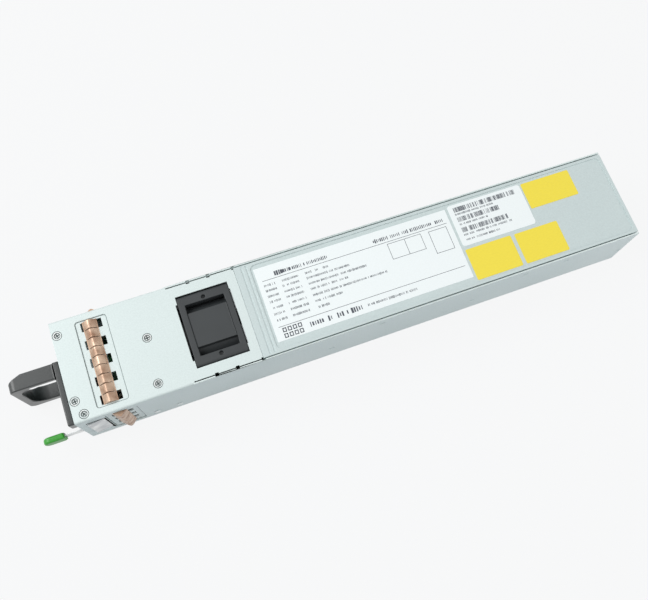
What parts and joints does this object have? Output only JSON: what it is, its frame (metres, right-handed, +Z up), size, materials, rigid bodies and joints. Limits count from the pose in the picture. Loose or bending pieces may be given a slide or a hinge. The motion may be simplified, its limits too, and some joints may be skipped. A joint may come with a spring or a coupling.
{
  "type": "hot swap server power supply",
  "caption": "Long slim steel power supply module for a server bay, with a pull handle, a sprung green release tab, an AC inlet, a fan behind a window, contact strips and a blade connector.",
  "frame": {"origin": "centre of the case's underside", "axes": "+X from the handle end to the connector end, +Y away from the latch side, +Z up from the underside to the label face"},
  "size_m": [0.3508, 0.0594, 0.0424],
  "materials": {
    "zinc_steel": "satin",
    "cover_steel": "satin",
    "bracket_steel": "satin",
    "screw_steel": "satin",
    "board_standoff_brass": "satin",
    "contact_copper": "satin",
    "spring_steel": "satin",
    "guard_paint": "satin",
    "green_plastic": "satin",
    "black_plastic": "matte",
    "fan_plastic": "satin",
    "pin_brass": "satin",
    "busbar_copper": "satin",
    "board_green": "satin",
    "insulation_film": "matte",
    "choke_wire": "gloss",
    "capacitor_box": "satin",
    "capacitor_disc": "satin",
    "fuse_glass": "gloss",
    "relay_plastic": "satin",
    "chip_plastic": "matte",
    "can_sleeve": "satin",
    "heatsink_aluminium": "satin",
    "ferrite": "matte",
    "winding_tape": "satin",
    "lead_rubber": "matte",
    "white_plastic": "satin",
    "clear_plastic": "gloss",
    "led_resin": "gloss",
    "white_label": "satin",
    "yellow_label": "satin"
  },
  "bodies": {
    "root": {"chassis_shell": "zinc_steel", "base_plate": "zinc_steel", "top_cover": "cover_steel", "base_rivets": "screw_steel", "deck_screws": "screw_steel", "contact_strip_top": "contact_copper", "contact_strip_near": "contact_copper", "contact_strip_far": "contact_copper", "front_panel": "zinc_steel", "handle_bezel": "black_plastic", "bezel_screws": "screw_steel", "ac_inlet_housing": "black_plastic", "inlet_pins": "pin_brass", "latch_seat": "bracket_steel", "latch_rivets": "screw_steel", "fan_frame": "fan_plastic", "fan_bulkhead": "bracket_steel", "fan_screws": "screw_steel", "fan_guard": "guard_paint", "fan_lead": "lead_rubber", "fan_plug": "white_plastic", "fan_header": "white_plastic", "rear_panel": "zinc_steel", "output_connector": "black_plastic", "connector_blades": "pin_brass", "main_board": "board_green", "board_standoffs": "board_standoff_brass", "board_screws": "screw_steel", "insulation_sheet": "insulation_film", "common_mode_choke_a": "choke_wire", "common_mode_choke_b": "choke_wire", "x_capacitors": "capacitor_box", "y_capacitors": "capacitor_disc", "fuse": "fuse_glass", "ground_bracket": "bracket_steel", "relay": "relay_plastic", "thermistor": "capacitor_disc", "bridge_rectifier": "chip_plastic", "bulk_capacitor": "can_sleeve", "pfc_inductor": "choke_wire", "primary_heatsink": "heatsink_aluminium", "primary_transistors": "chip_plastic", "transformer_core": "ferrite", "transformer_winding": "winding_tape", "standby_transformer": "ferrite", "control_board": "board_green", "output_inductor": "choke_wire", "secondary_heatsink": "heatsink_aluminium", "secondary_transistors": "chip_plastic", "output_capacitors": "can_sleeve", "busbars": "busbar_copper", "light_board": "board_green", "status_leds": "led_resin", "light_pipes": "clear_plastic", "rating_label": "white_label", "serial_label": "white_label", "yellow_labels": "yellow_label"},
    "fan_rotor": {"fan_rotor": "fan_plastic"},
    "latch": {"latch_spring": "spring_steel", "latch_tab": "green_plastic"}
  },
  "joints": [
    {"name": "fan_spin", "type": "hinge", "parent": "root", "child": "fan_rotor", "pos_m": [-0.083, 0, 0.02], "axis": [1, 0, 0], "continuous": true},
    {"name": "latch_press", "type": "hinge", "parent": "root", "child": "latch", "pos_m": [-0.12625, -0.0253, 0.014], "axis": [0, 0, -1], "range_deg": [0, 3.2], "stiffness_Nm_per_rad": 4, "springref_deg": -1.72}
  ]
}
